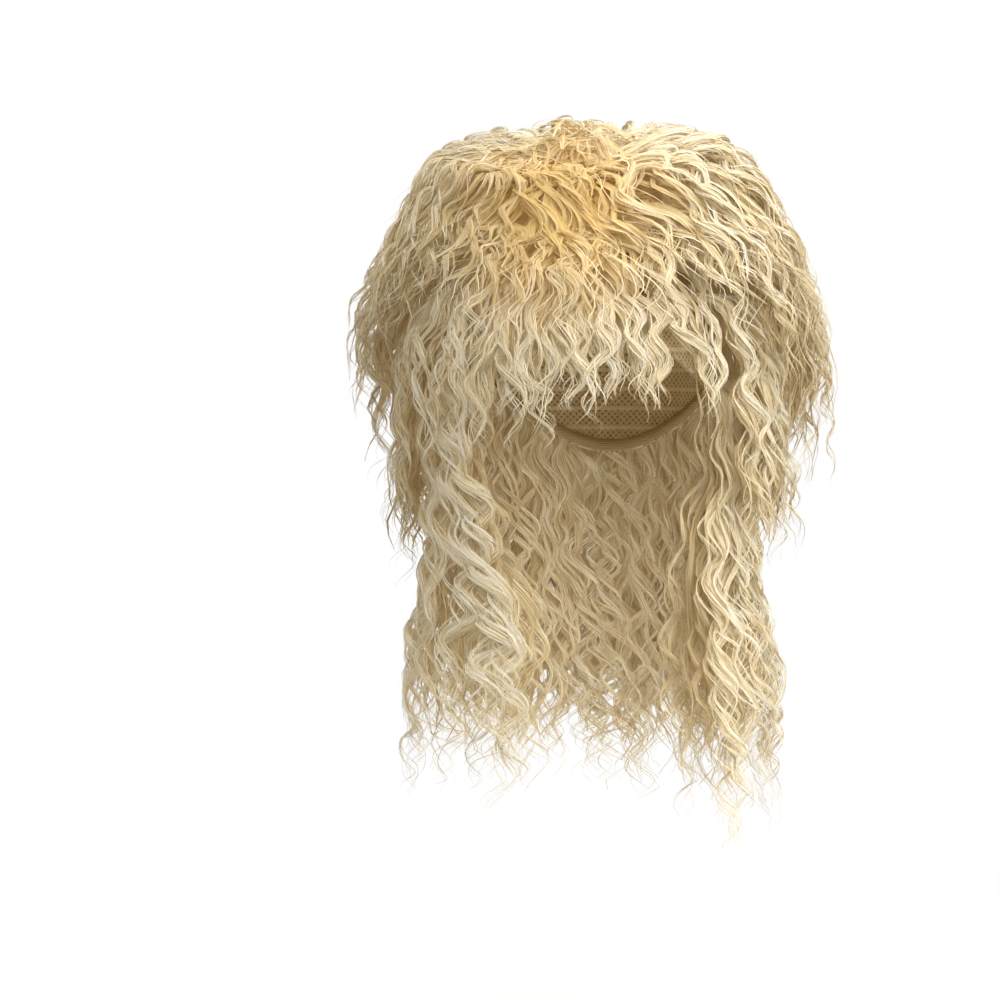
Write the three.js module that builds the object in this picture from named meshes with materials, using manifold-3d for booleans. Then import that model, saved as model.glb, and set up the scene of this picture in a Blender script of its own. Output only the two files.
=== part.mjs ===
// A long curly costume wig in its worn shape. An elastic cap with a bound edge carries the hair,
// which is sewn on in tiers: each tier is a weft band with waved locks that hang from it.
// Millimetres, +Z up. The face looks along -Y, and +X is on the right of a front view.
// The origin is the inside of the cap's top, where the wearer's crown sits.
import * as THREE from "three";
import { mergeVertices } from "three/addons/utils/BufferGeometryUtils.js";
import Module from "manifold-3d";

const wasm = await Module();
wasm.setup();

// Driving dimensions
const HEAD = { halfWidth: 78, halfLength: 97, domeHeight: 95 }; // head circumference about 550
const HEAD_RADIUS = (HEAD.halfWidth + HEAD.halfLength) / 2;
const CAP = { wall: 1.5, turns: 32, rows: 10 };
const EDGE_BAND = { depth: 9, thickness: 1.2, gap: 0.9 };
const RIM_POLAR = { front: 62, ear: 96, nape: 125 }; // degrees down from the crown
const WEFT = { inner: 2.3, outer: 4, depth: 12, rimMargin: 13, stepDegrees: 6 };
const TUFT_PATCH = { way: 16, turns: 12, rows: 2 };
const LOCK = { sides: 4, step: 16, gapShare: 0.08, rise: 26, tuftRise: 9, rootHalf: 0.6 };
const TAPER = { from: 0.5, tip: 0.22 }; // the share of a lock's length where it narrows, and what is left
const WAVE = { length: 64, side: 5, grow: 60 };
const FULLNESS = { front: 0.5, side: 1, back: 0.85, fromWay: 12, toWay: 110 };
const WHORL = { forward: 22, fades: 125 }; // degrees the hair's centre leans, and the way where that ends
const FALL_FLARE = { share: 0.14, over: 290 }; // how far the falls spread, over that drop
const SHORT_FRONT = { from: 0.45, to: 0.8 }; // where the crown locks shorten, 1 at the front
const WRAP = { from: 190, to: 320 }; // the ways where a fall comes round towards the face
const FACE = { left: -43, right: 66 }; // degrees from the front, where the long hair begins

// A way is the distance from the crown down the hair, as on a dome of this radius
const WAY_RADIUS = 110;
const EQUATOR_WAY = (WAY_RADIUS * Math.PI) / 2;
const SIDEWAYS = new THREE.Vector3(1, 0, 0);
const { clamp, degToRad: radians, lerp, mapLinear, smoothstep } = THREE.MathUtils;

// The room that each layer of hair fills above the head, by the way from the crown
const LAYERS = {
  edge: [
    { way: 100, inner: 2.6, outer: 4 },
    { way: 140, inner: 3.5, outer: 13 },
    { way: 170, inner: 4, outer: 22 },
    { way: 240, inner: 2, outer: 26 },
    { way: 310, inner: -14, outer: 27 },
    { way: 330, inner: -18, outer: 31 },
    { way: 370, inner: -15, outer: 38 },
    { way: 480, inner: -8, outer: 37 },
  ],
  upper: [
    { way: 70, inner: 2.6, outer: 4 },
    { way: 92, inner: 5.5, outer: 22 },
    { way: 112, inner: 9, outer: 32 },
    { way: 140, inner: 17, outer: 38 },
    { way: 170, inner: 25, outer: 46 },
    { way: 330, inner: 30, outer: 42 },
  ],
  crown: [
    { way: 34, inner: 2.6, outer: 4 },
    { way: 60, inner: 9, outer: 44 },
    { way: 92, inner: 26, outer: 60 },
    { way: 112, inner: 37, outer: 65 },
    { way: 140, inner: 42, outer: 69 },
    { way: 172, inner: 50, outer: 72 },
    { way: 260, inner: 48, outer: 62 },
  ],
  tuft: [
    { way: 4, inner: 2.6, outer: 4 },
    { way: 15, inner: 10, outer: 44 },
    { way: 40, inner: 25, outer: 64 },
    { way: 60, inner: 46, outer: 78 },
    { way: 92, inner: 64, outer: 90 },
    { way: 120, inner: 70, outer: 82 },
  ],
};

// One row for each tier of hair. from and to are degrees from the front, and rootWay is where its weft is
// sewn. tips are the ways of its tips at from and at to, or at the front and at the back in a tier that goes
// round the head. wrap is how many degrees its edges at from and at to go round the neck on their way down.
// tipShare is what is left of a lock at its tip, where that isn't as in TAPER.
const TIERS = [
  { name: "tuft", layer: "tuft", from: -180, to: 180, locks: 8, rootWay: 8, tips: [96, 106] },
  { name: "crown", layer: "crown", from: -180, to: 180, locks: 16, rootWay: 34, tips: [148, 244] },
  { name: "fringe_top", layer: "upper", from: -51, to: 51, locks: 6, rootWay: 74, tips: [226, 182] },
  { name: "fringe_edge", layer: "edge", from: FACE.left, to: 42, locks: 6, tips: [212, 178] },
  { name: "upper_left", layer: "upper", from: -128, to: -52, locks: 4, rootWay: 112, tips: [308, 300] },
  { name: "upper_right", layer: "upper", from: 52, to: 128, locks: 4, rootWay: 112, tips: [290, 310] },
  { name: "upper_back", layer: "upper", from: 128, to: 232, locks: 5, rootWay: 112, tips: [318, 318] },
  {
    name: "long_left",
    layer: "edge",
    from: -128,
    to: FACE.left,
    locks: 5,
    tips: [436, 422],
    wrap: [0, 34],
    tipShare: 0.6,
  },
  {
    name: "long_right",
    layer: "edge",
    from: FACE.right,
    to: 128,
    locks: 4,
    tips: [454, 452],
    wrap: [-12, 0],
    tipShare: 0.6,
  },
  { name: "long_back", layer: "edge", from: 128, to: 232, locks: 6, tips: [456, 456], tipShare: 0.6 },
];
const TIP_SCATTER = { reach: 9, turn: 2.4 }; // how far tips differ, and the turn from one to the next

const hair = new THREE.MeshStandardMaterial({ color: 0xd9c189, roughness: 0.5, metalness: 0 });
const capNet = new THREE.MeshStandardMaterial({ color: 0xc9b284, roughness: 0.9, metalness: 0 });
const elastic = new THREE.MeshStandardMaterial({ color: 0xa98f5f, roughness: 0.8, metalness: 0 });

// Places on the head

function towards(azimuth, polar) {
  const yUp = new THREE.Vector3().setFromSphericalCoords(1, polar, azimuth);
  return yUp.applyAxisAngle(SIDEWAYS, Math.PI / 2);
}

function onHead(direction, height) {
  return new THREE.Vector3(
    (HEAD.halfWidth + height) * direction.x,
    (HEAD.halfLength + height) * direction.y,
    -HEAD.domeHeight + (HEAD.domeHeight + height) * direction.z,
  );
}

// Hair follows the head as far as its widest level and then hangs straight down, spreading a little
function onFall(azimuth, way, height) {
  const lean = radians(WHORL.forward) * (1 - smoothstep(way, 0, WHORL.fades));
  const direction = towards(azimuth, Math.min(way, EQUATOR_WAY) / WAY_RADIUS);
  direction.applyAxisAngle(SIDEWAYS, lean);
  const drop = Math.max(0, way - EQUATOR_WAY);
  const spread = 1 + FALL_FLARE.share * (drop / FALL_FLARE.over) ** 2;
  const place = onHead(direction, height);
  return new THREE.Vector3(place.x * spread, place.y * spread, place.z - drop);
}

function rimPolar(azimuth) {
  const toSide = Math.sin(azimuth) ** 2;
  const end = Math.cos(azimuth) > 0 ? RIM_POLAR.front : RIM_POLAR.nape;
  return radians(lerp(end, RIM_POLAR.ear, toSide));
}

function rimWay(azimuth) {
  return Math.min(rimPolar(azimuth) * WAY_RADIUS, EQUATOR_WAY + 8);
}

function fullness(azimuth, way) {
  const toSide = Math.sin(azimuth) ** 2;
  const end = Math.cos(azimuth) > 0 ? FULLNESS.front : FULLNESS.back;
  const here = lerp(end, FULLNESS.side, toSide);
  return lerp(1, here, smoothstep(way, FULLNESS.fromWay, FULLNESS.toWay));
}

function between(rows, way, column) {
  const next = rows.findIndex((row) => row.way >= way);
  if (next <= 0) return rows.at(next)[column];
  const [a, b] = [rows[next - 1], rows[next]];
  return mapLinear(way, a.way, b.way, a[column], b[column]);
}

function layerHeight(layer, azimuth, way, column) {
  const height = between(LAYERS[layer], way, column);
  return WEFT.outer + (height - WEFT.outer) * fullness(azimuth, way);
}

// Moves each vertex of a plain geometry to where place(x, y, z) puts it
function wrapped(geometry, place) {
  const at = geometry.getAttribute("position");
  for (let i = 0; i < at.count; i++) at.setXYZ(i, ...place(at.getX(i), at.getY(i), at.getZ(i)).toArray());
  geometry.deleteAttribute("normal");
  geometry.deleteAttribute("uv");
  return mergeVertices(geometry, 1e-3);
}

function solid(geometry) {
  const triVerts = new Uint32Array(geometry.index.array);
  return new wasm.Manifold(
    new wasm.Mesh({ numProp: 3, vertProperties: geometry.getAttribute("position").array, triVerts }),
  );
}

function namedMesh(name, made, material) {
  const mesh = made.getMesh();
  const geometry = new THREE.BufferGeometry()
    .setAttribute("position", new THREE.BufferAttribute(mesh.vertProperties, 3))
    .setIndex(new THREE.BufferAttribute(mesh.triVerts, 1));
  geometry.computeVertexNormals();
  const node = new THREE.Mesh(geometry, material);
  node.name = name;
  return node;
}

// A dome with two faces, turned about the crown: outer points lie at radius 2 and inner ones at 1
function domeShell(turns, rows, place) {
  const arc = (radius, row) => {
    const angle = (row / rows) * (Math.PI / 2);
    return new THREE.Vector2(row ? radius * Math.sin(angle) : 0, radius * Math.cos(angle));
  };
  const profile = [];
  for (let row = 0; row <= rows; row++) profile.push(arc(1, row));
  for (let row = rows; row >= 0; row--) profile.push(arc(2, row));
  return wrapped(new THREE.LatheGeometry(profile, turns), (x, y, z) => {
    const share = Math.atan2(Math.hypot(x, z), y) / (Math.PI / 2);
    return place(Math.atan2(x, z), share, Math.hypot(x, y, z) > 1.5);
  });
}

function cap() {
  const shell = domeShell(CAP.turns, CAP.rows, (azimuth, share, outside) =>
    onHead(towards(azimuth, share * rimPolar(azimuth)), outside ? CAP.wall : 0),
  );
  return namedMesh("cap", solid(shell), capNet);
}

// A flat strip that closes on itself round the head. place takes the azimuth, how far up the strip
// a corner lies, from 0 to 1, and how far out, from 0 to 1
function ringStrip(place) {
  const ring = new THREE.TorusGeometry(10, 1, 4, CAP.turns);
  return wrapped(ring, (x, y, z) => {
    const out = Math.hypot(x, y) - 10;
    return place(Math.atan2(y, x) + Math.PI / 2, (1 + out + z) / 2, (1 + out - z) / 2);
  });
}

// The elastic inside the cap's rim
function edgeBand() {
  const strip = ringStrip((azimuth, up, out) => {
    const height = -EDGE_BAND.gap - (1 - out) * EDGE_BAND.thickness;
    return onHead(towards(azimuth, rimPolar(azimuth) - (up * EDGE_BAND.depth) / HEAD.domeHeight), height);
  });
  return namedMesh("edge_band", solid(strip), elastic);
}

function rootWay(tier, azimuth) {
  return tier.rootWay ?? rimWay(azimuth) - WEFT.rimMargin;
}

function goesRound(tier) {
  return tier.to - tier.from >= 360;
}

// What a tier's locks are sewn to: a round patch on the crown, a ring, or a strip along its sector
function weft(tier) {
  if (tier.name === "tuft") {
    return domeShell(TUFT_PATCH.turns, TUFT_PATCH.rows, (azimuth, share, outside) =>
      onFall(azimuth, share * TUFT_PATCH.way, outside ? WEFT.outer : WEFT.inner),
    );
  }
  const heightAt = (out) => lerp(WEFT.inner, WEFT.outer, out);
  const wayAt = (azimuth, up) => rootWay(tier, azimuth) + (0.5 - up) * WEFT.depth;
  if (goesRound(tier)) {
    return ringStrip((azimuth, up, out) => onFall(azimuth, wayAt(azimuth, up), heightAt(out)));
  }
  const trim = (LOCK.gapShare * (tier.to - tier.from)) / tier.locks / 2;
  const steps = Math.ceil((tier.to - tier.from) / WEFT.stepDegrees);
  return wrapped(new THREE.BoxGeometry(1, 1, 1, steps, 1, 1), (x, y, z) => {
    const azimuth = radians(lerp(tier.from + trim, tier.to - trim, x + 0.5));
    return onFall(azimuth, wayAt(azimuth, z + 0.5), heightAt(0.5 - y));
  });
}

function tipWay(tier, index, azimuth) {
  const front = (1 + Math.cos(azimuth)) / 2;
  const toBack = 1 - smoothstep(front, SHORT_FRONT.from, SHORT_FRONT.to);
  const share = goesRound(tier) ? toBack : (index + 0.5) / tier.locks;
  return lerp(...tier.tips, share) + TIP_SCATTER.reach * Math.sin(TIP_SCATTER.turn * (index + 1));
}

function wrappedRound(tier, azimuth, way) {
  const share = clamp(mapLinear(azimuth, radians(tier.from), radians(tier.to), 0, 1), 0, 1);
  const added = lerp(...(tier.wrap ?? [0, 0]), share);
  return azimuth + radians(added) * smoothstep(way, WRAP.from, WRAP.to);
}

// One waved lock: a tube that leaves the weft, swells to the layer's height and ends in a narrow tip
function lock(tier, index) {
  const cell = radians(tier.to - tier.from) / tier.locks;
  const centre = radians(tier.from) + (index + 0.5) * cell;
  const root = rootWay(tier, centre);
  const tip = tipWay(tier, index, centre);
  const steps = Math.ceil((tip - root) / LOCK.step);
  const tube = new THREE.CylinderGeometry(1, 1, 1, LOCK.sides, steps);
  return wrapped(tube, (x, y, z) => {
    const share = 0.5 - y;
    const way = lerp(root, tip, share);
    const radius = HEAD_RADIUS * Math.sin(Math.min(way, EQUATOR_WAY) / WAY_RADIUS);
    const grown = smoothstep(way - root, 0, WAVE.grow);
    const sway = WAVE.side * grown * Math.sin((way / WAVE.length) * 2 * Math.PI);
    const taper = lerp(1, tier.tipShare ?? TAPER.tip, smoothstep(share, TAPER.from, 1));
    const across = centre + sway / radius + x * (cell / 2) * (1 - LOCK.gapShare) * taper;
    const azimuth = wrappedRound(tier, across, way);
    const risen = smoothstep(way - root, 0, tier.name === "tuft" ? LOCK.tuftRise : LOCK.rise);
    const middleOfWeft = (WEFT.inner + WEFT.outer) / 2;
    const inner = layerHeight(tier.layer, azimuth, way, "inner");
    const outer = lerp(inner, layerHeight(tier.layer, azimuth, way, "outer"), taper);
    const middle = lerp(middleOfWeft, (inner + outer) / 2, risen);
    const half = lerp(LOCK.rootHalf, (outer - inner) / 2, risen);
    return onFall(azimuth, way, middle + z * half);
  });
}

function hairTier(tier) {
  let made = solid(weft(tier));
  for (let index = 0; index < tier.locks; index++) made = made.add(solid(lock(tier, index)));
  return namedMesh(`hair_${tier.name}`, made, hair);
}

const wig = new THREE.Group();
wig.name = "costume_wig";
wig.add(cap(), edgeBand(), ...TIERS.map(hairTier));
export default wig;
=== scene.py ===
"""A long curly costume wig in its worn shape: a net cap with an elastic edge, and tiers of waved blond hair.

Sizes are in millimetres up to the point where a mesh is made, and a mesh is in metres. A place in the hair
has an azimuth from the front, a way, which is the length from the whorl down the head and the fall, and a
height above the head.
"""
import math

import bmesh
import bpy
import numpy as np
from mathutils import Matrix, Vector


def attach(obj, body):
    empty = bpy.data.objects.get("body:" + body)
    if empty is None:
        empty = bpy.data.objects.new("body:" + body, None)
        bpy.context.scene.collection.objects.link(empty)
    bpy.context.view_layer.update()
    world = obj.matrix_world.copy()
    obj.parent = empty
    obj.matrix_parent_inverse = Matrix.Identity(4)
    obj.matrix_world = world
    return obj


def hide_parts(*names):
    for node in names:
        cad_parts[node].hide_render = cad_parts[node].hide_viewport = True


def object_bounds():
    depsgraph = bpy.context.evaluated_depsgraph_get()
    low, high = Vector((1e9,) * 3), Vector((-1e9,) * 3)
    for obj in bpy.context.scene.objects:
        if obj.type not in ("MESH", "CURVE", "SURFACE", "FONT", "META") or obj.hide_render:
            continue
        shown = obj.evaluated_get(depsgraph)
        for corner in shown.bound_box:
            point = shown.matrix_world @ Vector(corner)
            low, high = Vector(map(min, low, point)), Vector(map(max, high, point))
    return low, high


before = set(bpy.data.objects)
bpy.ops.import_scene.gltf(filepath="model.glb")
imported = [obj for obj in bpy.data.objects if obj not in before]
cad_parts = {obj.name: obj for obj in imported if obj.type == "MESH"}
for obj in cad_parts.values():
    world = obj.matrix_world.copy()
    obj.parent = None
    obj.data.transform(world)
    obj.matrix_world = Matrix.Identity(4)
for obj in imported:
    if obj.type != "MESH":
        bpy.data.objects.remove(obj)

CAD_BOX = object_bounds()
MM = 0.001
SEED = 1986
TURN = 2 * math.pi
TINY = 1e-9

# The head that the wig fits, and the cap on it
HEAD = dict(half_width=78, half_length=97, dome_height=95)
HEAD_RADIUS = (HEAD["half_width"] + HEAD["half_length"]) / 2
HEAD_AXES = np.array([HEAD["half_width"], HEAD["half_length"], HEAD["dome_height"]], float)
CAP = dict(wall=1.5, turns=96, rows=30, cut_below=-1e-4)
EDGE_BAND = dict(depth=9, thickness=1.2, gap=0.9, turns=128)
RIM_POLAR = dict(front=62, ear=96, nape=125)
WEFT = dict(inner=2.3, outer=4, depth=12, rim_margin=13, below_equator=8)

# How hair runs over the head and hangs from it
WAY_RADIUS = 110
EQUATOR_WAY = WAY_RADIUS * math.pi / 2
FULLNESS = dict(front=0.5, side=1, back=0.85, from_way=12, to_way=110)
WHORL = dict(forward=22, fades=125)
FALL_FLARE = dict(share=0.14, over=290)
SHORT_FRONT = dict(start=0.45, end=0.8)
WRAP = dict(start=190, end=320, uneven=38, bunch=0.15)
FACE = dict(left=-43, right=66)
TIP_SCATTER = dict(reach=9, turn=2.4)
ROOM = dict(side=159, front=137.5, back=170, free=0.94)

# The room that each layer of hair fills above the head: way from the crown, inner height, outer height
LAYERS = {
    "edge": (
        (100, 2.6, 4), (140, 3.5, 13), (170, 4, 22), (240, 2, 26), (310, -14, 27), (330, -18, 31),
        (370, -15, 38), (480, -8, 37)
    ),
    "upper": ((70, 2.6, 4), (92, 5.5, 22), (112, 9, 32), (140, 17, 38), (170, 25, 46), (330, 30, 42)),
    "crown": (
        (34, 2.6, 4), (60, 9, 44), (92, 26, 60), (112, 37, 65), (140, 42, 69), (172, 50, 72), (260, 48, 62)
    ),
    "tuft": ((4, 2.6, 4), (15, 10, 44), (40, 25, 64), (60, 46, 78), (92, 64, 90), (120, 70, 82)),
}

# What a tier has unless its row says otherwise. It is made in so many pieces. Its hair rises from the
# weft to its layer and grows to its full wave over these ways. A lock narrows to the share point, and its
# tips settle to a share of the layer's height, at the front and at the side. They end past the lock, are
# ragged, scatter to the sides and flick outwards. layered cuts some of the outer hair short and thinned
# the hidden hair. swirl and stray disturb the hair at the whorl, and sweep combs it to the sides. filled
# adds hidden hair, finer adds points to each strand, and wrap turns the tier's two edges further round. A
# tier without a root is sewn on at the rim, and one with a crest begins its outer hair at that height over
# the whorl.
USUAL = dict(
    pieces=1, root=None, rise=26, grow=60, point=0.5, settle=(0.8, 0.8), past=(0, 0), ragged=1, scatter=7,
    flick=(0, 0), layered=0, thinned=1, swirl=0, stray=0, sweep=0, filled=1, finer=1, wrap=(0, 0), crest=None,
)

# One row for each tier: its sector in degrees from the front, its locks, where it is sewn on, the ways of
# its tips at start and at end, or at the front and the back if it goes round, the way where its outer
# hair begins to show, the length and swing of its waves and the width of a lock
TIERS = tuple({**USUAL, **row} for row in (
    dict(name="tuft", layer="tuft", start=-180, end=180, locks=8, root=8, tips=(96, 106), shows=8,
         wave=36, swing=3.8, lock=76, pieces=2, rise=22, grow=18, point=1, settle=(0.05, 0.3), past=(26, 52),
         ragged=1.9, crest=(42, 60), swirl=0.6, sweep=0.3, stray=20),
    dict(name="crown", layer="crown", start=-180, end=180, locks=16, root=34, tips=(148, 244), shows=60,
         wave=35, swing=4.4, lock=64, pieces=2, point=0.95, flick=(-8, 20), ragged=1.35, sweep=0.18,
         filled=1.5, layered=0.5),
    dict(name="fringe_top", layer="upper", start=-51, end=51, locks=6, root=74, tips=(226, 182), shows=110,
         wave=33, swing=3, lock=38, point=0.2, scatter=3, past=(4, 4), ragged=1.3, sweep=0.16, thinned=2.6,
         finer=1.15),
    dict(name="fringe_edge", layer="edge", start=FACE["left"], end=42, locks=6, tips=(212, 178), shows=130,
         wave=31, swing=2.7, lock=28, point=0.18, scatter=3, past=(4, 4), ragged=1.2, thinned=2.6,
         finer=1.15),
    dict(name="upper_left", layer="upper", start=-128, end=-52, locks=4, root=112, tips=(308, 300), shows=122,
         wave=35, swing=4.4, lock=40, flick=(-2, 16), sweep=0.25, layered=0.3),
    dict(name="upper_right", layer="upper", start=52, end=128, locks=4, root=112, tips=(290, 310), shows=122,
         wave=35, swing=4.4, lock=40, flick=(-2, 16), sweep=0.25, layered=0.3),
    dict(name="upper_back", layer="upper", start=128, end=232, locks=5, root=112, tips=(318, 318), shows=200,
         wave=36, swing=4.6, lock=42),
    dict(name="long_left", layer="edge", start=-128, end=FACE["left"], locks=5, tips=(436, 422), shows=145,
         wave=36, swing=5, lock=36, wrap=(0, 34), finer=1.2),
    dict(name="long_right", layer="edge", start=FACE["right"], end=128, locks=4, tips=(454, 452), shows=120,
         wave=38, swing=5, lock=36, wrap=(-12, 0), finer=1.15),
    dict(name="long_back", layer="edge", start=128, end=232, locks=6, tips=(456, 456), shows=240,
         wave=38, swing=5, lock=40, filled=1.4),
))

# The kinds of strand in a lock. per_mm is how many there are for each millimetre of the lock's width,
# bunch is how many run together within gather, depth is where they lie between the layer's inner and
# outer height, waved is how far they follow the wave and pull how far they are drawn to their curl, frizz
# is how ragged they run, ragged is how unevenly they end and short by what share before the lock's tip,
# tone is from dark to light, kept darker for the deeper kinds as painted shade, and split is how far one
# is slit into fibres. Wisps leave a lock part of the way down.
KINDS = (
    dict(name="fill", per_mm=0.15, bunch=1, gather=0, width=7, step=12, depth=(0.15, 0.5), waved=0.7,
         pull=0, frizz=0.3, ragged=16, short=0.16, tone=(0.0, 0.3), split=0.75),
    dict(name="core", per_mm=0.19, bunch=1, gather=0, width=5, step=13, depth=(0.45, 0.82), waved=0.8,
         pull=0, frizz=0.3, ragged=16, short=0.09, tone=(0.0, 0.45), split=0.9),
    dict(name="under", per_mm=0.18, bunch=2, gather=3, width=3.6, step=6, depth=(0.8, 0.92), waved=0.9,
         pull=0.12, frizz=0.4, ragged=26, short=0.05, tone=(0.2, 0.7), split=1),
    dict(name="curl", per_mm=0.29, bunch=5, gather=2.3, width=2.9, step=4.4, depth=(0.9, 1.02), waved=1.2,
         pull=0.5, frizz=0.5, ragged=34, short=0, tone=(0.3, 1.0), split=1.06),
    dict(name="loose", per_mm=0.27, bunch=2, gather=3.5, width=2.3, step=4.6, depth=(0.86, 1.0), waved=1.1,
         pull=0.35, frizz=1.1, ragged=30, short=0, tone=(0.3, 1.0), split=1.06),
    dict(name="wisp", per_mm=0.2, bunch=1, gather=0, width=0.55, step=4.8, depth=(0.9, 1.0), waved=1,
         pull=0.2, frizz=1.8, ragged=0, short=0, tone=(0.4, 1.0), split=0),
)
INNER = dict(name="inner", per_mm=0.25, bunch=2, gather=3, width=2.8, step=6, depth=(0.0, 0.15), waved=1,
             pull=0.15, frizz=0.6, ragged=30, short=0, tone=(0.2, 0.7), split=1)
HIDDEN_KINDS = ("fill", "core")
SHOWING_KINDS = ("under", "curl", "loose")
LAYERED_KINDS = ("curl", "loose")

# How a lock divides into curls, and how its strands differ
LOCK_OVERLAP = 1.15
OPEN_EDGE = 0.55
FINENESS = 1.15
CURL = dict(width=15, middle=(0.3, 0.7), wave=(0.8, 1.25), swing=(0.75, 1.3), sway=(60, 120))
BUNCH_WITHIN = (0.05, 0.95)
ENDS = dict(sewn=(-0.5, 0.5), bunch=(-1, 0.3), strand=(-8, 4), shows=(0, 30), crest=(-16, 12))
WISP = dict(length=(35, 85), lift=(-3, 11), lift_at_front=0.4)
WISP_PLACE = dict(below_weft=30, above_show=20, above_tip=30, past_tip=6)
WAVE = dict(bunch=(0.93, 1.07), strand=(0.98, 1.02), drift=0.7)
PHASE = dict(bunch=(-0.12, 0.12), strand=(-0.4, 0.4))
SWING = dict(bunch=(0.8, 1.2), strand=(0.85, 1.15), swell=0.5, widens=0.35, outward=0.65, bulge=6)
SWAY = dict(reach=5, curl=0.8, bunch=0.4)
SCATTER = dict(curl=0.7, bunch=0.4)
STRAY = dict(strand=(-0.4, 0.4), along=(1, 1, 0.4))
TWIST = dict(still=(-0.35, 0.35), rolling=0.35, phase=(0, 6))
WIDTH = dict(strand=(0.7, 1.35), at_root=0.4, at_tip=0.15)
# depth lightens outer strands and darkens deep ones as painted highlight and shade; the rest is random tone
TONE_AND_SHADE = dict(depth=0.25, bunch=0.4, strand=0.35)
RIPPLE = dict(slow=(60, 150, 1.0), sway=(45, 110, 1.4), frizz=(13, 32, 0.9), waves=3)
AT_WEFT = dict(frizz=0.4, spread=0.6)
SPREAD_AT_TIP = 0.4
DOME_GROWTH = 0.5
INWARD_ROOM = 4
LEAST_RADIUS = 14
LENGTH_STEPS = 40
LENGTH_DEPTH = 0.6

# Where a change comes in: on the way in millimetres, as a share of the lock, or as a share of the strand
ON_WAY = dict(whorl=(0, 70), sweep=(40, 200))
IN_LOCK = dict(gather=(0.05, 0.5), scatter=(0.15, 1), narrow=(0.5, 1), settle=(0.6, 1))
IN_STRAND = dict(root=(0, 0.1), flick=(0.55, 1), close=(0.6, 1), tip=(0.75, 1))

# A strand's section and its maps
CORNERS = 3
ACROSS = np.array([0, 0.5, 1])
END_FACES = dict(root=(0, 2, 1), tip=(0, 1, 2))
STRIP_ACROSS = dict(side=(0, 1, 1, 0), end=(0, 1, 0.5))
RIDGE = 0.6
RIDGE_LEAN = 0.8
SOFTNESS = 0.72
FIBRE_SHIFT = 20
BAKE = dict(rows=4, beside=0.15, beyond=0.02)


def smooth(value, low, high):
    t = np.clip((value - low) / (high - low), 0, 1)
    return t * t * (3 - 2 * t)


def mix(a, b, share):
    return a + (b - a) * share


def unit(vectors):
    return vectors / np.maximum(np.linalg.norm(vectors, axis=-1, keepdims=True), TINY)


# Places on the head

def on_head(direction, height):
    place = direction * (HEAD_AXES + height[..., None])
    place[..., 2] -= HEAD["dome_height"]
    return place


def on_fall(azimuth, way, height):
    """Hair follows the head as far as its widest level and then hangs straight down, spreading a little."""
    polar = np.minimum(way, EQUATOR_WAY) / WAY_RADIUS
    lean = math.radians(WHORL["forward"]) * (1 - smooth(way, 0, WHORL["fades"]))
    across, ahead, up = np.sin(polar) * np.sin(azimuth), -np.sin(polar) * np.cos(azimuth), np.cos(polar)
    leant = ahead * np.cos(lean) - up * np.sin(lean), ahead * np.sin(lean) + up * np.cos(lean)
    place = on_head(np.stack((across, *leant), axis=-1), height)
    drop = np.maximum(0, way - EQUATOR_WAY)
    place[..., :2] *= (1 + FALL_FLARE["share"] * (drop / FALL_FLARE["over"]) ** 2)[..., None]
    place[..., 2] -= drop
    return place


def rim_polar(azimuth):
    end = np.where(np.cos(azimuth) > 0, RIM_POLAR["front"], RIM_POLAR["nape"])
    return np.radians(mix(end, RIM_POLAR["ear"], np.sin(azimuth) ** 2))


def root_way(tier, azimuth):
    if tier["root"] is not None:
        return tier["root"]
    rim = np.minimum(rim_polar(azimuth) * WAY_RADIUS, EQUATOR_WAY + WEFT["below_equator"])
    return float(rim - WEFT["rim_margin"])


def goes_round(tier):
    return tier["end"] - tier["start"] >= 360


def tip_way(tier, index, azimuth):
    front = (1 + math.cos(azimuth)) / 2
    to_back = 1 - smooth(front, SHORT_FRONT["start"], SHORT_FRONT["end"])
    share = to_back if goes_round(tier) else (index + 0.5) / tier["locks"]
    scatter = TIP_SCATTER["reach"] * math.sin(TIP_SCATTER["turn"] * (index + 1))
    return float(mix(*tier["tips"], share) + scatter)


def fullness(azimuth, way):
    end = np.where(np.cos(azimuth) > 0, FULLNESS["front"], FULLNESS["back"])
    here = mix(end, FULLNESS["side"], np.sin(azimuth) ** 2)
    return mix(1, here, smooth(way, FULLNESS["from_way"], FULLNESS["to_way"]))


def layer_heights(layer, azimuth, way):
    """The inner and outer height of a layer."""
    ways, *columns = np.array(LAYERS[layer], float).T
    full = fullness(azimuth, way)
    return [WEFT["outer"] + (np.interp(way, ways, column) - WEFT["outer"]) * full for column in columns]


def wrapped_round(tier, azimuth, way):
    start, end = math.radians(tier["start"]), math.radians(tier["end"])
    added = mix(*tier["wrap"], np.clip((azimuth - start) / (end - start), 0, 1))
    return azimuth + np.radians(added) * smooth(way, WRAP["start"], WRAP["end"])


def held_in(line):
    """Draws hair that stands out too far gently back to the room that the wig has round the head."""
    room = np.where(line[..., 1] < 0, ROOM["front"], ROOM["back"])
    reach = np.hypot(line[..., 0] / ROOM["side"], line[..., 1] / room)
    slack = 1 - ROOM["free"]
    held = ROOM["free"] + slack * np.tanh((reach - ROOM["free"]) / slack)
    line[..., :2] *= np.where(reach > ROOM["free"], held / np.maximum(reach, TINY), 1)[..., None]
    return line


# Locks and strands

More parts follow.
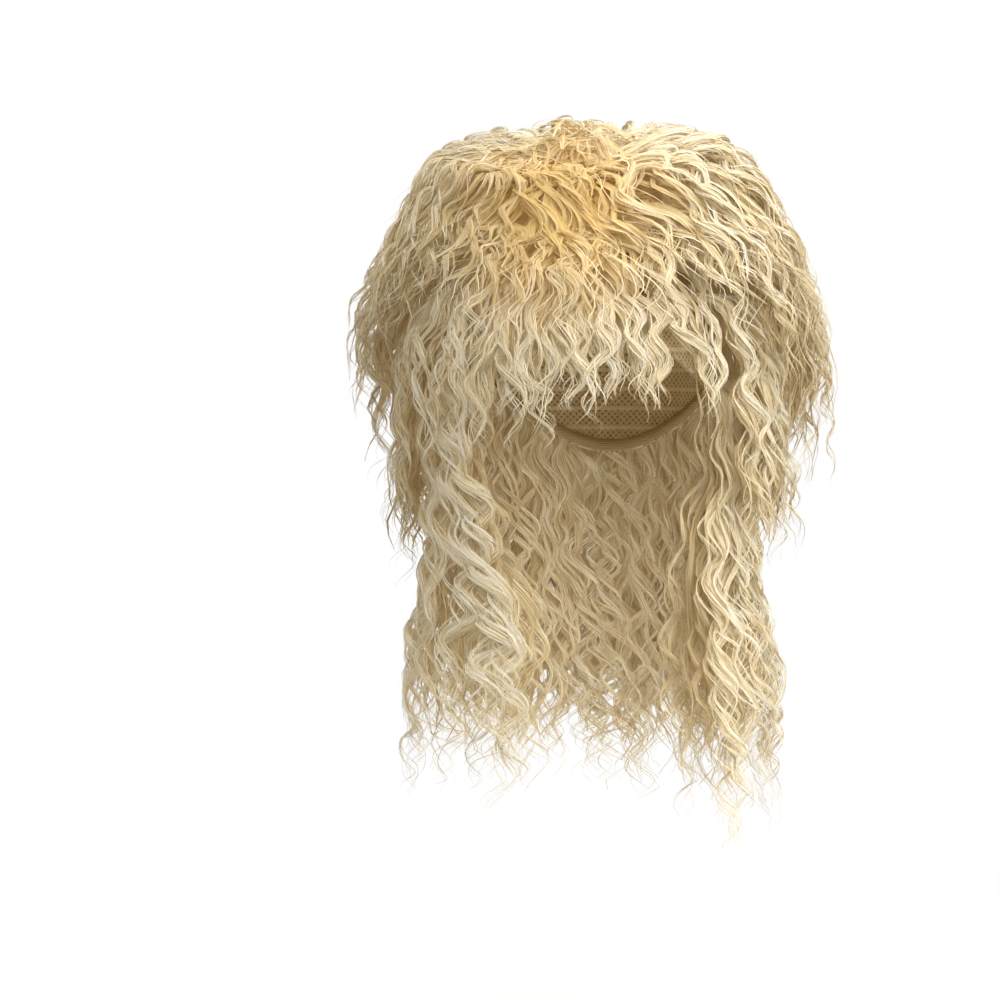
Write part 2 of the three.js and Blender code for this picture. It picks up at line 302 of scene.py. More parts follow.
class Lock:
    """One lock of a tier: its middle, its weft and tip, and the curls that it divides into."""

    def __init__(self, tier, index, rng):
        self.tier, self.index = tier, index
        self.cell = math.radians(tier["end"] - tier["start"]) / tier["locks"]
        self.centre = math.radians(tier["start"]) + (index + 0.5) * self.cell
        self.weft = root_way(tier, self.centre)
        self.tip = tip_way(tier, index, self.centre)
        self.reach = self.tip - self.weft
        self.length = self._length()
        self.curls = self._curls(rng)

    def _length(self):
        """The length from weft to tip over the dome and down the fall."""
        way = np.linspace(self.weft, self.tip, LENGTH_STEPS)
        azimuth = np.full_like(way, self.centre)
        inner, outer = layer_heights(self.tier["layer"], azimuth, way)
        height = mix(inner, outer, LENGTH_DEPTH) * smooth(way - self.weft, 0, self.tier["rise"])
        line = on_fall(azimuth, way, height)
        return float(np.linalg.norm(np.diff(line, axis=0), axis=1).sum())

    def _curls(self, rng):
        """The middle of each curl across the lock, and how it waves and sways."""
        count = max(2, round(self.tier["lock"] / CURL["width"]))
        return dict(
            middle=(np.arange(count) + rng.uniform(*CURL["middle"], count)) / count * 2 - 1,
            wave=rng.uniform(*CURL["wave"], count),
            phase=rng.random(count),
            swing=rng.uniform(*CURL["swing"], count),
            sway=rng.uniform(*CURL["sway"], count),
            turn=rng.random(count),
            scatter=rng.uniform(-1, 1, count),
            uneven=rng.uniform(-1, 1, count),
        )

    def curl_at(self, across):
        """The values of the curl that is nearest to each strand."""
        nearest = np.abs(across - self.curls["middle"]).argmin(axis=1)
        return {name: values[nearest][:, None] for name, values in self.curls.items()}

    def off_open_edge(self, across):
        """Keeps hidden strands of an end lock away from the open edge of its tier."""
        if goes_round(self.tier):
            return across
        low = OPEN_EDGE - 1 if self.index == 0 else -1
        high = 1 - OPEN_EDGE if self.index == self.tier["locks"] - 1 else 1
        return mix(low, high, (across + 1) / 2)


class Draws:
    """Random values for strands that run in bunches, alike in a bunch or strand by strand."""

    def __init__(self, rng, bunches, bunch):
        self.rng, self.bunches, self.bunch = rng, bunches, bunch
        self.strands = bunches * bunch

    def across(self):
        """Places from -1 to 1, with an even share of the lock for each bunch."""
        order = self.rng.permutation(self.bunches)[:, None]
        within = self.rng.uniform(*BUNCH_WITHIN, (self.bunches, 1))
        return np.repeat((order + within) / self.bunches * 2 - 1, self.bunch, axis=0)

    def per_bunch(self, low, high):
        return np.repeat(self.rng.uniform(low, high, (self.bunches, 1)), self.bunch, axis=0)

    def per_strand(self, low, high):
        return self.rng.uniform(low, high, (self.strands, 1))

    def ripple(self, along, shortest, longest, reach):
        """A ragged run for each row of along: a few waves of random length and phase."""
        total = 0
        for _ in range(RIPPLE["waves"]):
            length = self.rng.uniform(shortest, longest, (len(along), 1))
            phase = self.rng.random((len(along), 1))
            total = total + np.sin(TURN * (along / length + phase)) / RIPPLE["waves"]
        return reach * total

    def bunch_ripple(self, along, *run):
        return self.ripple(along[::self.bunch], *run).repeat(self.bunch, axis=0)


class Strands:
    """The strands of one kind in one lock: a line each, the way out from the head along it, and its looks.

    Each step draws at random, so the steps keep their order.
    """

    def __init__(self, lock, kind, rng):
        self.lock, self.tier, self.kind = lock, lock.tier, kind
        filled = self.tier["filled"] if kind["name"] == "fill" else 1
        bunches = max(1, round(self.tier["lock"] * kind["per_mm"] * filled / kind["bunch"]))
        self.draws = Draws(rng, bunches, kind["bunch"])
        self.across = self.draws.across()
        if kind["name"] in HIDDEN_KINDS:
            self.across = lock.off_open_edge(self.across)
        self.curl = lock.curl_at(self.across)
        self.above = self.draws.per_bunch(0, 1)
        self._run(*self._ends())
        self._comb()
        self._wave()
        self._lay()
        self._look()

    def _ends(self):
        """The way of each root and tip, and how far the strand lifts off the lock."""
        lock, tier, kind, draws = self.lock, self.tier, self.kind, self.draws
        root = lock.weft + draws.per_bunch(*ENDS["sewn"]) * WEFT["depth"]
        past = mix(*tier["past"], math.sin(lock.centre) ** 2)
        tip = lock.tip + past - kind["short"] * tier["thinned"] * lock.reach
        tip = tip + draws.per_bunch(*ENDS["bunch"]) * kind["ragged"] * tier["ragged"]
        tip = tip + draws.per_strand(*ENDS["strand"])

        # A wisp has ends of its own, which are drawn after these
        if kind["name"] == "wisp":
            return self._wisp_ends()
        if kind["name"] in LAYERED_KINDS:
            tip = tip - tier["layered"] * lock.reach * draws.per_bunch(0, 1) ** 2
        if kind["name"] in SHOWING_KINDS:
            root = np.maximum(root, tier["shows"] - draws.per_strand(*ENDS["shows"]))
            if tier["crest"]:
                root = draws.per_bunch(*ENDS["crest"])
        return root, tip, 0

    def _wisp_ends(self):
        lock, draws = self.lock, self.draws
        first = max(lock.weft + WISP_PLACE["below_weft"], self.tier["shows"] - WISP_PLACE["above_show"])
        root = mix(first, lock.tip - WISP_PLACE["above_tip"], draws.per_strand(0, 1))
        tip = np.minimum(root + draws.per_strand(*WISP["length"]), lock.tip + WISP_PLACE["past_tip"])
        lift = mix(*WISP["lift"], draws.per_strand(0, 1) ** 2)
        return root, tip, lift * mix(WISP["lift_at_front"], 1, math.sin(lock.centre) ** 2)

    def _run(self, root, tip, lift):
        """The points of each strand from root to tip."""
        lock, tier = self.lock, self.tier
        share_of_lock = float(np.max(tip - root)) / lock.reach
        points = int(FINENESS * tier["finer"] * share_of_lock * lock.length / self.kind["step"]) + 2
        self.share = np.linspace(0, 1, points)[None, :]
        self.way = mix(root, tip, self.share)
        self.down = np.clip((self.way - lock.weft) / lock.reach, 0, 1)
        self.grown = smooth(self.way - lock.weft, 0, tier["grow"])
        self.lift = lift * self.share**2

    def _comb(self):
        """The course before it waves: drawn to its curl, combed to the side, at its height in the layer."""
        lock, tier, draws, way, down = self.lock, self.tier, self.draws, self.way, self.down
        narrowing = mix(1, tier["point"], smooth(down, *IN_LOCK["narrow"]))
        swirl = tier["swirl"] * draws.per_bunch(-1, 1) * (1 - smooth(way, *ON_WAY["whorl"]))
        drawn = mix(self.across, self.curl["middle"], self.kind["pull"] * smooth(down, *IN_LOCK["gather"]))
        azimuth = lock.centre + drawn * lock.cell / 2 * LOCK_OVERLAP * narrowing + swirl
        to_side = np.sin(2 * azimuth) * (np.cos(azimuth) > 0)
        self.azimuth = azimuth + tier["sweep"] * to_side * smooth(way, *ON_WAY["sweep"])
        self.inner, outer = layer_heights(tier["layer"], self.azimuth, way)
        sideways = np.sin(self.azimuth) ** 2
        settled = mix(1, mix(*tier["settle"], sideways), smooth(down, *IN_LOCK["settle"]))
        flick = mix(*tier["flick"], draws.per_bunch(0, 1) ** 2) * sideways
        height = mix(self.inner, outer, mix(*self.kind["depth"], self.above) * settled) + self.lift
        self.height = height + flick * smooth(self.share, *IN_STRAND["flick"])

        # Distance along the strand, which is longer over the full part of the dome
        on_dome = np.minimum(way, EQUATOR_WAY) - lock.weft
        self.along = way - lock.weft + DOME_GROWTH * on_dome * self.height / WAY_RADIUS

    def _wave(self):
        """How far the strand leaves its course sideways and outwards."""
        tier, kind, curl, draws = self.tier, self.kind, self.curl, self.draws
        along, down, grown = self.along, self.down, self.grown
        slow = draws.bunch_ripple(along, *RIPPLE["slow"])
        length = tier["wave"] * curl["wave"]
        length = length * draws.per_bunch(*WAVE["bunch"]) * draws.per_strand(*WAVE["strand"])
        swing = tier["swing"] * kind["waved"] * curl["swing"]
        swing = swing * draws.per_bunch(*SWING["bunch"]) * draws.per_strand(*SWING["strand"])
        swing = swing * (1 + SWING["swell"] * slow) * grown * (1 + SWING["widens"] * down)
        turns = along / length + curl["phase"] + draws.per_bunch(*PHASE["bunch"])
        self.phase = TURN * turns + WAVE["drift"] * slow + draws.per_strand(*PHASE["strand"])
        angle = draws.per_strand(0, TURN)
        spread = kind["gather"] * np.sqrt(draws.per_strand(0, 1)) * mix(AT_WEFT["spread"], 1, grown)
        spread = spread * mix(1, SPREAD_AT_TIP, smooth(self.share, *IN_STRAND["close"]))
        sway = SWAY["bunch"] * draws.bunch_ripple(along, *RIPPLE["sway"])
        sway = sway + SWAY["curl"] * np.sin(TURN * (along / curl["sway"] + curl["turn"]))
        scatter = SCATTER["curl"] * curl["scatter"] + SCATTER["bunch"] * draws.per_bunch(-1, 1)
        scatter = scatter * tier["scatter"] * smooth(down, *IN_LOCK["scatter"])
        frizz = kind["frizz"] * mix(AT_WEFT["frizz"], 1, grown)
        sideways = SWAY["reach"] * grown * sway + swing * np.sin(self.phase) + spread * np.cos(angle)
        self.sideways = sideways + scatter + frizz * draws.ripple(along, *RIPPLE["frizz"])
        outwards = SWING["outward"] * swing * np.cos(self.phase) + spread * np.sin(angle)
        outwards = outwards + frizz * draws.ripple(along, *RIPPLE["frizz"])
        self.outwards = np.minimum(outwards, SWING["bulge"] * np.tanh(outwards / SWING["bulge"]))

    def _lay(self):
        """The line in space, from the weft up into the layer and round the head."""
        tier, draws, way = self.tier, self.draws, self.way
        from_crest = tier["crest"] and self.kind["name"] not in HIDDEN_KINDS
        sewn = draws.per_strand(*(tier["crest"] if from_crest else (WEFT["inner"], WEFT["outer"])))
        height = mix(sewn, self.height + self.outwards, smooth(way - self.lock.weft, 0, tier["rise"]))
        height = np.maximum(height, np.where(way < EQUATOR_WAY, WEFT["inner"], self.inner - INWARD_ROOM))
        radius = (HEAD_RADIUS + height) * np.sin(np.minimum(way, EQUATOR_WAY) / WAY_RADIUS)
        turned_at = way + WRAP["uneven"] * (self.curl["uneven"] + WRAP["bunch"] * draws.per_bunch(-1, 1))
        azimuth = self.azimuth + self.sideways / np.maximum(radius, LEAST_RADIUS)
        azimuth = wrapped_round(tier, azimuth, turned_at)
        line = on_fall(azimuth, way, height)
        self.out = unit(on_fall(azimuth, way, height + 1) - line)
        stray = [draws.per_bunch(-1, 1) + draws.per_strand(*STRAY["strand"]) for _ in STRAY["along"]]
        stray = tier["stray"] * np.concatenate(stray, axis=1)[:, None] * STRAY["along"]
        self.line = held_in(line + stray * (1 - smooth(way, *ON_WAY["whorl"]))[..., None])

    def _look(self):
        kind, draws, share = self.kind, self.draws, self.share
        twist = draws.per_strand(*TWIST["still"])
        self.twist = twist + TWIST["rolling"] * np.sin(self.phase + draws.per_strand(*TWIST["phase"]))
        width = kind["width"] * draws.per_strand(*WIDTH["strand"])
        width = width * mix(WIDTH["at_root"], 1, smooth(share, *IN_STRAND["root"]))
        self.width = width * mix(1, WIDTH["at_tip"], smooth(share, *IN_STRAND["tip"]))
        # Outer strands are painted lighter and deeper ones darker, as painted highlight and shade
        lightness = TONE_AND_SHADE["depth"] * self.above + TONE_AND_SHADE["bunch"] * draws.per_bunch(0, 1)
        lightness = lightness + TONE_AND_SHADE["strand"] * draws.per_strand(0, 1)
        self.tone = np.clip(mix(*kind["tone"], lightness), 0, 1)
        self.split = kind["split"]

    def ribbon(self):
        """Left edge, ridge and right edge of a flat, ridged ribbon at each point of each strand.

        With them come the normals of its ridged face there and of its flat one. They lean from the ribbon's
        own towards the lock's, so that neighbours shade as one soft lock.
        """
        along = unit(np.gradient(self.line, axis=1))
        side = unit(np.cross(along, self.out))
        up = np.cross(side, along)
        turn = self.twist[..., None]
        flat = side * np.cos(turn) + up * np.sin(turn)
        raised = up * np.cos(turn) - side * np.sin(turn)
        half = self.width[..., None] / 2
        left, right = self.line - flat * half, self.line + flat * half
        corners = np.stack((left, self.line + raised * half * RIDGE, right), axis=2)
        own = unit(np.stack((raised - flat * RIDGE_LEAN, raised, raised + flat * RIDGE_LEAN), axis=2))
        ridged = unit(mix(own, self.out[:, :, None], SOFTNESS))
        backed = unit(mix(-raised, -self.out, SOFTNESS))
        return corners, ridged, backed


class StrandMesh:
    """Gathers the strands of a piece into one mesh, with a strip of the bake map for each strand."""

    def __init__(self):
        self.corners, self.normals, self.faces, self.sizes = [], [], [], []
        self.fibre, self.strip = [], []
        self.values = {"tone": [], "split": [], "share": []}
        self.vertices = 0
        self.strands = 0

    def add(self, strands):
        corners, ridged, backed = strands.ribbon()
        self.corners.append(corners.reshape(-1, 3))
        for name, values in self.values.items():
            at_points = np.broadcast_to(getattr(strands, name), corners.shape[:2])
            values.append(np.repeat(at_points, CORNERS, axis=1).ravel())
        self._add_normals(ridged, backed)
        self._add_faces(strands, *corners.shape[:2])

    def _add_normals(self, ridged, backed):
        """Normals in the order of the faces: three sides for each segment, and then the two ends."""
        faced = [(ridged[:, :, corner], ridged[:, :, corner + 1]) for corner in (0, 1)]
        faced.append((backed, backed))
        sides = [np.stack((a[:, :-1], b[:, :-1], b[:, 1:], a[:, 1:]), axis=2) for a, b in faced]
        self.normals.append(np.stack(sides, axis=2).reshape(-1, 3))
        self.normals.append(np.stack((ridged[:, 0], ridged[:, -1]), axis=1).reshape(-1, 3))

    def _add_faces(self, strands, count, points):
        first = np.arange(count)[:, None, None] * points * CORNERS
        ring = first + np.arange(points - 1)[None, :, None] * CORNERS
        here = np.arange(CORNERS)
        after = (here + 1) % CORNERS
        sides = np.stack((ring + here, ring + after, ring + CORNERS + after, ring + CORNERS + here), axis=-1)
        root = first[:, 0]
        tip = root + (points - 1) * CORNERS
        ends = np.stack((root + END_FACES["root"], tip + END_FACES["tip"]), axis=1)
        for part, wide in ((sides, STRIP_ACROSS["side"]), (ends, STRIP_ACROSS["end"])):
            faces = part.reshape(-1, len(wide))
            self.faces.append((faces + self.vertices).ravel())
            self.sizes.append(np.full(len(faces), faces.shape[1]))
            self._add_maps(strands, faces, wide)
        self.vertices += count * points * CORNERS
        self.strands += count

    def _add_maps(self, strands, faces, wide):
        """For each corner of a face, its place among the fibres and its place in the strand's strip."""
        strand, point, corner = np.unravel_index(faces, (*strands.along.shape, CORNERS))
        number = self.strands + strand
        fibre = (ACROSS[corner] - 0.5) * strands.width[strand, point] + number * FIBRE_SHIFT
        self.fibre.append(np.stack((fibre, strands.along[strand, point]), axis=-1).reshape(-1, 2))
        strip = (number, np.broadcast_to(wide, faces.shape), strands.share[0, point])
        self.strip.append(np.stack(strip, axis=-1).reshape(-1, 3))

    def bake_places(self):
        number, wide, share = np.concatenate(self.strip).T
        columns = math.ceil(self.strands / BAKE["rows"])
        column = number % columns + mix(BAKE["beside"], 1 - BAKE["beside"], wide)
        row = number // columns + mix(BAKE["beyond"], 1 - BAKE["beyond"], share)
        return np.stack((column / columns, row / BAKE["rows"]), axis=-1)

    def made(self, name, material):
        mesh = bpy.data.meshes.new(name)
        sizes = np.concatenate(self.sizes)
        mesh.vertices.add(self.vertices)
        mesh.vertices.foreach_set("co", (np.concatenate(self.corners) * MM).astype(np.float32).ravel())
        mesh.loops.add(int(sizes.sum()))
        mesh.loops.foreach_set("vertex_index", np.concatenate(self.faces).astype(np.int32))
        mesh.polygons.add(len(sizes))
        mesh.polygons.foreach_set("loop_start", (np.cumsum(sizes) - sizes).astype(np.int32))
        mesh.polygons.foreach_set("use_smooth", np.ones(len(sizes), bool))
        mesh.update(calc_edges=True)
        for map_name, places in (("OFBake", self.bake_places()), ("Fibre", np.concatenate(self.fibre))):
            layer = mesh.uv_layers.new(name=map_name)
            layer.uv.foreach_set("vector", places.astype(np.float32).ravel())
        for attribute, values in self.values.items():
            kept = mesh.attributes.new(attribute, "FLOAT", "POINT")
            kept.data.foreach_set("value", np.concatenate(values).astype(np.float32))
        mesh.validate()
        mesh.normals_split_custom_set(np.concatenate(self.normals).astype(np.float32))
        mesh.materials.append(material)
        return linked(bpy.data.objects.new(name, mesh))


def linked(piece):
    bpy.context.scene.collection.objects.link(piece)
    return piece


def hair_pieces(material):
    for number, tier in enumerate(TIERS):
        rng = np.random.default_rng(SEED + number)
        kinds = (*KINDS, INNER) if tier["layer"] == "edge" else KINDS
        pieces = tier["pieces"]
        for part in range(pieces):
            strands = StrandMesh()
            for index in range(part * tier["locks"] // pieces, (part + 1) * tier["locks"] // pieces):
                lock = Lock(tier, index, rng)
                for kind in kinds:
                    strands.add(Strands(lock, kind, rng))
            name = f"hair_{tier['name']}_strands" + (f"_{part + 1}" if pieces > 1 else "")
            piece = strands.made(name, material)
            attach(piece, "root")
            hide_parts(f"hair_{tier['name']}")


# Cap and edge

def mesh_from(made, name, material):
    mesh = bpy.data.meshes.new(name)
    made.to_mesh(mesh)
    made.free()
    mesh.materials.append(material)
    return mesh


def walled(made, name, thickness, material):
    """A smooth piece from an open surface, with its wall on the outer side."""
    bmesh.ops.recalc_face_normals(made, faces=made.faces)
    mesh = mesh_from(made, name, material)
    mesh.polygons.foreach_set("use_smooth", np.ones(len(mesh.polygons), bool))
    piece = linked(bpy.data.objects.new(name, mesh))
    wall = piece.modifiers.new("wall", "SOLIDIFY")
    wall.thickness = thickness * MM
    wall.offset = 1
    return piece


def azimuth_of(place):
    return math.atan2(place.x, -place.y)


def head_point(azimuth, polar, height):
    across, ahead = math.sin(polar) * math.sin(azimuth), -math.sin(polar) * math.cos(azimuth)
    place = on_head(np.array([across, ahead, math.cos(polar)]), np.array(float(height)))
    return Vector(place) * MM


def lay_net(made):
    """A map of the dome in millimetres: round the head, and down from its top."""
    layer = made.loops.layers.uv.new("Net")
    for face in made.faces:
        middle = azimuth_of(face.calc_center_median())
        for loop in face.loops:
            place = loop.vert.co
            at_top = math.hypot(place.x, place.y) < MM
            turned = 0 if at_top else math.remainder(azimuth_of(place) - middle, TURN)
            loop[layer].uv = ((middle + turned) * HEAD_RADIUS, -place.z / MM)


def cap_piece(material):
    """A dome cut at the rim: a sphere's upper half drawn down to the rim's line."""
    made = bmesh.new()
    bmesh.ops.create_uvsphere(made, u_segments=CAP["turns"], v_segments=CAP["rows"] * 2, radius=1)
    lower = [vert for vert in made.verts if vert.co.z < CAP["cut_below"]]
    bmesh.ops.delete(made, geom=lower, context="VERTS")
    for vert in made.verts:
        azimuth = azimuth_of(vert.co)
        share = math.acos(min(1, vert.co.z)) / (math.pi / 2)
        vert.co = head_point(azimuth, share * float(rim_polar(azimuth)), 0)
    lay_net(made)
    piece = walled(made, "cap_net", CAP["wall"], material)
    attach(piece, "root")
    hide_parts("cap")


def edge_piece(material):
    """A band inside the cap along its rim."""
    made = bmesh.new()
    ring = bmesh.ops.create_circle(made, segments=EDGE_BAND["turns"], radius=1)["verts"]
    edges = list({edge for vert in ring for edge in vert.link_edges})
    grown = bmesh.ops.extrude_edge_only(made, edges=edges)["geom"]
    upper = {item for item in grown if isinstance(item, bmesh.types.BMVert)}
    inside = -EDGE_BAND["gap"] - EDGE_BAND["thickness"]
    for vert in made.verts:
        azimuth = azimuth_of(vert.co)
        up = EDGE_BAND["depth"] / HEAD["dome_height"] if vert in upper else 0
        vert.co = head_point(azimuth, float(rim_polar(azimuth)) - up, inside)
    piece = walled(made, "edge_elastic", EDGE_BAND["thickness"], material)
    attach(piece, "root")
    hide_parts("edge_band")


# Materials

class Wire:
    """A socket among the nodes, with Python's operators as Math nodes."""

    def __init__(self, paint, socket):
        self.paint, self.socket = paint, socket

    def _math(self, operation, first, second):
        return self.paint.node("ShaderNodeMath", {"operation": operation}, first, second)

    def __add__(self, other):
        return self._math("ADD", self, other)

    def __radd__(self, other):
        return self._math("ADD", other, self)

    def __sub__(self, other):
        return self._math("SUBTRACT", self, other)

    def __rsub__(self, other):
        return self._math("SUBTRACT", other, self)

    def __mul__(self, other):
        return self._math("MULTIPLY", self, other)

    def __rmul__(self, other):
        return self._math("MULTIPLY", other, self)


class Paint:
    """The nodes of a material or of the world, and the one shader that they feed."""

    MIX_COLOURS = dict(first=6, second=7, result=2)

    def __init__(self, owner, shader):
        owner.use_nodes = True
        self.owner = owner
        self.tree = owner.node_tree
        self.shader = self.tree.nodes[shader]

    def node(self, kind, settings, *values, output=0, **named):
        made = self.tree.nodes.new(kind)
        for key, value in settings.items():
            if key == "stops":
                self._stops(made.color_ramp, value)
            else:
                setattr(made, key, value)
        for key, value in (*enumerate(values), *named.items()):
            self._feed(made, key, value)
        return Wire(self, made.outputs[output])

    def _stops(self, ramp, stops):
        while len(ramp.elements) < len(stops):
            ramp.elements.new(1)
        for element, (place, colour) in zip(ramp.elements, stops):
            element.position = place
            element.color = (*colour, 1)

    def _feed(self, node, key, value):
        """Sets or links a socket, by its number or by its name with low lines for the spaces."""
        socket = node.inputs[key.replace("_", " ") if isinstance(key, str) else key]
        if isinstance(value, Wire):
            self.tree.links.new(value.socket, socket)
        else:
            socket.default_value = value

    def feed(self, **sockets):
        for name, value in sockets.items():
            self._feed(self.shader, name, value)
        return self.owner

    def attribute(self, name):
        return self.node("ShaderNodeAttribute", {"attribute_name": name}, output="Fac")

    def uv_map(self, name):
        return self.node("ShaderNodeUVMap", {"uv_map": name})

    def on_object(self):
        return self.node("ShaderNodeTexCoord", {}, output="Object")

    def limited(self, value):
        return self.node("ShaderNodeClamp", {}, value)

    def sine(self, value):
        return self.node("ShaderNodeMath", {"operation": "SINE"}, value)

    def larger(self, first, second):
        return self.node("ShaderNodeMath", {"operation": "MAXIMUM"}, first, second)

    def flat_noise(self, places, scale, detail):
        settings = {"noise_dimensions": "2D"}
        return self.node("ShaderNodeTexNoise", settings, Vector=places, Scale=scale, Detail=detail)

    def ramp(self, value, *stops):
        return self.node("ShaderNodeValToRGB", {"stops": stops}, value)

    def bump(self, height, strength, distance):
        return self.node("ShaderNodeBump", {}, Strength=strength, Distance=distance, Height=height)

    def blended(self, share, first, second):
        places = self.MIX_COLOURS
        mixed = self.node("ShaderNodeMix", {"data_type": "RGBA"}, share, output=places["result"])
        self._feed(mixed.socket.node, places["first"], first)
        self._feed(mixed.socket.node, places["second"], second)
        return mixed


def principled(name, **constants):
    paint = Paint(bpy.data.materials.new(name), "Principled BSDF")
    paint.feed(**constants)
    return paint


def linear(red, green, blue):
    """A colour as a screen shows it, from 0 to 255, as the shader wants it."""
    values = (v / 255 for v in (red, green, blue))
    return tuple(v / 12.92 if v <= 0.04045 else ((v + 0.055) / 1.055) ** 2.4 for v in values)


# The ramp's dark end also carries painted shade of deep hair, its light end painted highlight of outer hair
ASH = linear(198, 174, 128)
GOLD = linear(226, 205, 158)
STRAW = linear(240, 225, 187)
CREAM = linear(251, 244, 224)
WHORL_GOLD = linear(236, 195, 104)
NET_SHADOW = linear(164, 138, 94)
NET_THREAD = linear(214, 192, 146)
NET_LIGHT = linear(238, 222, 184)
ELASTIC_GROOVE_SHADE = linear(178, 154, 110)
ELASTIC_RIB = linear(214, 192, 148)
FLOOR_GREY = linear(238, 238, 238)
FLOOR_WHITE = linear(246, 246, 246)
WHITE = (1, 1, 1, 1)

# The hair's streaks and slits lie along the strand. The whorl's gold fades with the distance in metres.
STREAK = dict(scale=(2.0, 0.035, 1), contrast=2.8, strength=0.8, distance=0.0004)
SLIT = dict(scale=(2.6, 0.03, 1), shift=(7, 3, 0), at_root=0.44, more_at_tip=0.1)
SHEEN = dict(smoothest=0.42, range=0.2)
WHORL_TINT = dict(place=Vector((0, -0.105, 0.01)), full=1.3, fades=14, share=0.68)

# The net's threads and rows of stitching in millimetres, how sharp they are, and how unevenly it is worn
NET = dict(thread=4.2, row=13)
NET_THREADS = dict(gain=0.4, level=0.45)
NET_ROWS = dict(gain=5, level=3.6)
# tone: how far the colour follows thread height, painted shade between threads and painted light on them
NET_WEAR_AND_SHADE = dict(scale=0.12, gain=0.5, tone=0.9)


def hair_paint():
    # A faint emission of the hair's own colour is a painted glow that lifts its shade.
    paint = principled("blond_fibre", IOR=1.45, Emission_Strength=0.09)
    places = paint.uv_map("Fibre")
    streaks = paint.node("ShaderNodeMapping", {}, places, Scale=STREAK["scale"])
    streak = paint.flat_noise(streaks, scale=1.0, detail=2.0)
    # The tone attribute carries painted highlight and shade by depth besides the hair's random tone
    tone = paint.limited(paint.attribute("tone") + (streak - 0.5) * STREAK["contrast"])
    colour = paint.ramp(tone, (0.0, ASH), (0.35, GOLD), (0.65, STRAW), (1.0, CREAM))
    distance = {"operation": "DISTANCE"}
    from_whorl = paint.node(
        "ShaderNodeVectorMath", distance, paint.on_object(), WHORL_TINT["place"], output="Value"
    )
    # A deeper gold near the whorl, fading with the distance from it
    near = paint.limited(WHORL_TINT["full"] - from_whorl * WHORL_TINT["fades"])
    colour = paint.blended(near * WHORL_TINT["share"], colour, (*WHORL_GOLD, 1))
    slits = paint.node("ShaderNodeMapping", {}, places, Location=SLIT["shift"], Scale=SLIT["scale"])
    slit = paint.flat_noise(slits, scale=1.0, detail=1.0)
    tip = paint.attribute("share")
    gaps = paint.attribute("split") * (SLIT["at_root"] + tip * tip * SLIT["more_at_tip"])
    kept = paint.node("ShaderNodeMath", {"operation": "GREATER_THAN"}, slit, gaps)
    return paint.feed(
        Base_Color=colour,
        Emission_Color=colour,
        Roughness=SHEEN["smoothest"] + streak * SHEEN["range"],
        Normal=paint.bump(streak, STREAK["strength"], STREAK["distance"]),
        Alpha=kept,
    )


def net_paint():
    """A net of slanting threads, with rows where the hair is sewn on."""
    paint = principled("cap_net", Roughness=0.85)
    places = paint.uv_map("Net")
    round_head, down = (paint.node("ShaderNodeSeparateXYZ", {}, places, output=axis) for axis in "XY")
    threads = paint.larger(
        paint.sine((round_head + down) * (TURN / NET["thread"])),
        paint.sine((round_head - down) * (TURN / NET["thread"])),
    )
    rows = paint.limited(paint.sine(down * (TURN / NET["row"])) * NET_ROWS["gain"] - NET_ROWS["level"])
    worn = paint.flat_noise(places, scale=NET_WEAR_AND_SHADE["scale"], detail=3.0)
    height = paint.limited(threads * NET_THREADS["gain"] + NET_THREADS["level"]) * (1 - rows) + rows
    tone = paint.limited(height * NET_WEAR_AND_SHADE["tone"] + (worn - 0.5) * NET_WEAR_AND_SHADE["gain"])
    # The colour runs from painted shade in the gaps to painted light on the threads and rows
    colour = paint.ramp(tone, (0.0, NET_SHADOW), (0.6, NET_THREAD), (1.0, NET_LIGHT))
    return paint.feed(Base_Color=colour, Normal=paint.bump(height, strength=0.6, distance=0.0008))


def elastic_paint():
    paint = principled("rim_elastic", Roughness=0.75)
    bands = {"wave_type": "BANDS", "bands_direction": "Z"}
    ribs = paint.node("ShaderNodeTexWave", bands, Vector=paint.on_object(), Scale=260.0, Distortion=0.4)
    # The grooves between the ribs are painted darker as shade
    colour = paint.ramp(ribs, (0.0, ELASTIC_GROOVE_SHADE), (1.0, ELASTIC_RIB))
    return paint.feed(Base_Color=colour, Normal=paint.bump(ribs, strength=0.5, distance=0.0005))


def floor_paint():
    paint = principled("pale_floor", Roughness=0.7, Emission_Color=WHITE, Emission_Strength=0.15)
    grain = paint.node("ShaderNodeTexNoise", {}, Vector=paint.on_object(), Scale=3.0, Detail=2.0)
    return paint.feed(Base_Color=paint.ramp(grain, (0.0, FLOOR_GREY), (1.0, FLOOR_WHITE)))


# Studio, in metres and degrees

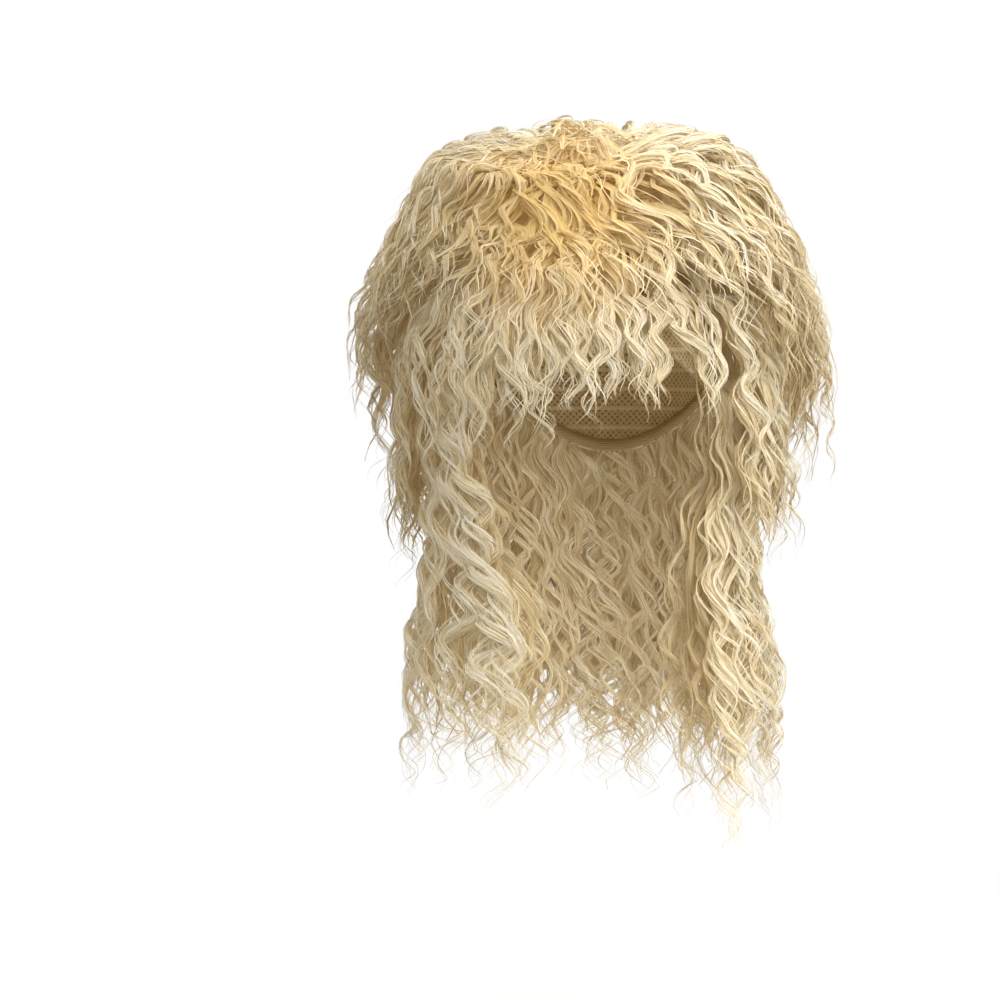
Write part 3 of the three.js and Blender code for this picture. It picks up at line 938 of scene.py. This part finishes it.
FLOOR = dict(drop=0.15, radius=0.6, segments=96)
CAMERA = dict(azimuth=12, elevation=3, distance=1.7, frame_width=0.646, aside=-0.058, up=-0.178)
SENSOR_MM = 36
LAMPS = (
    dict(name="key", azimuth=48, elevation=46, strength=4.65, angle=100),
    dict(name="rim", azimuth=-125, elevation=42, strength=0.5, angle=40),
)
AMBIENT = 0.18


def towards(azimuth, elevation):
    azimuth, elevation = math.radians(azimuth), math.radians(elevation)
    level = math.cos(elevation)
    return Vector((math.sin(azimuth) * level, -math.cos(azimuth) * level, math.sin(elevation)))


def facing(direction):
    return direction.to_track_quat("-Z", "Y").to_euler()


def floor():
    made = bmesh.new()
    bmesh.ops.create_circle(made, cap_ends=True, segments=FLOOR["segments"], radius=FLOOR["radius"])
    bmesh.ops.translate(made, verts=made.verts, vec=(0, 0, CAD_BOX[0][2] - FLOOR["drop"]))
    linked(bpy.data.objects.new("floor", mesh_from(made, "floor", floor_paint())))


def lamps():
    for row in LAMPS:
        light = bpy.data.lights.new(row["name"], "SUN")
        light.energy = row["strength"]
        light.angle = math.radians(row["angle"])
        lamp = linked(bpy.data.objects.new(row["name"], light))
        lamp.rotation_euler = facing(-towards(row["azimuth"], row["elevation"]))


def surroundings():
    """White to the camera and a softer white to the wig."""
    sky = Paint(bpy.data.worlds.new("studio"), "Background")
    seen = sky.node("ShaderNodeLightPath", {}, output="Is Camera Ray")
    strength = sky.node("ShaderNodeMapRange", {}, seen, To_Min=AMBIENT, To_Max=1)
    bpy.context.scene.world = sky.feed(Color=WHITE, Strength=strength)


def camera():
    back = towards(CAMERA["azimuth"], CAMERA["elevation"])
    right = towards(CAMERA["azimuth"] + 90, 0)
    lens = bpy.data.cameras.new("view")
    lens.sensor_width = SENSOR_MM
    lens.lens = lens.sensor_width * CAMERA["distance"] / CAMERA["frame_width"]
    view = linked(bpy.data.objects.new("view", lens))
    view.location = right * CAMERA["aside"] + Vector((0, 0, CAMERA["up"])) + back * CAMERA["distance"]
    view.rotation_euler = facing(-back)
    bpy.context.scene.camera = view


camera()
lamps()
surroundings()
floor()
cap_piece(net_paint())
edge_piece(elastic_paint())
hair_pieces(hair_paint())
bpy.context.scene.view_settings.view_transform = "Standard"
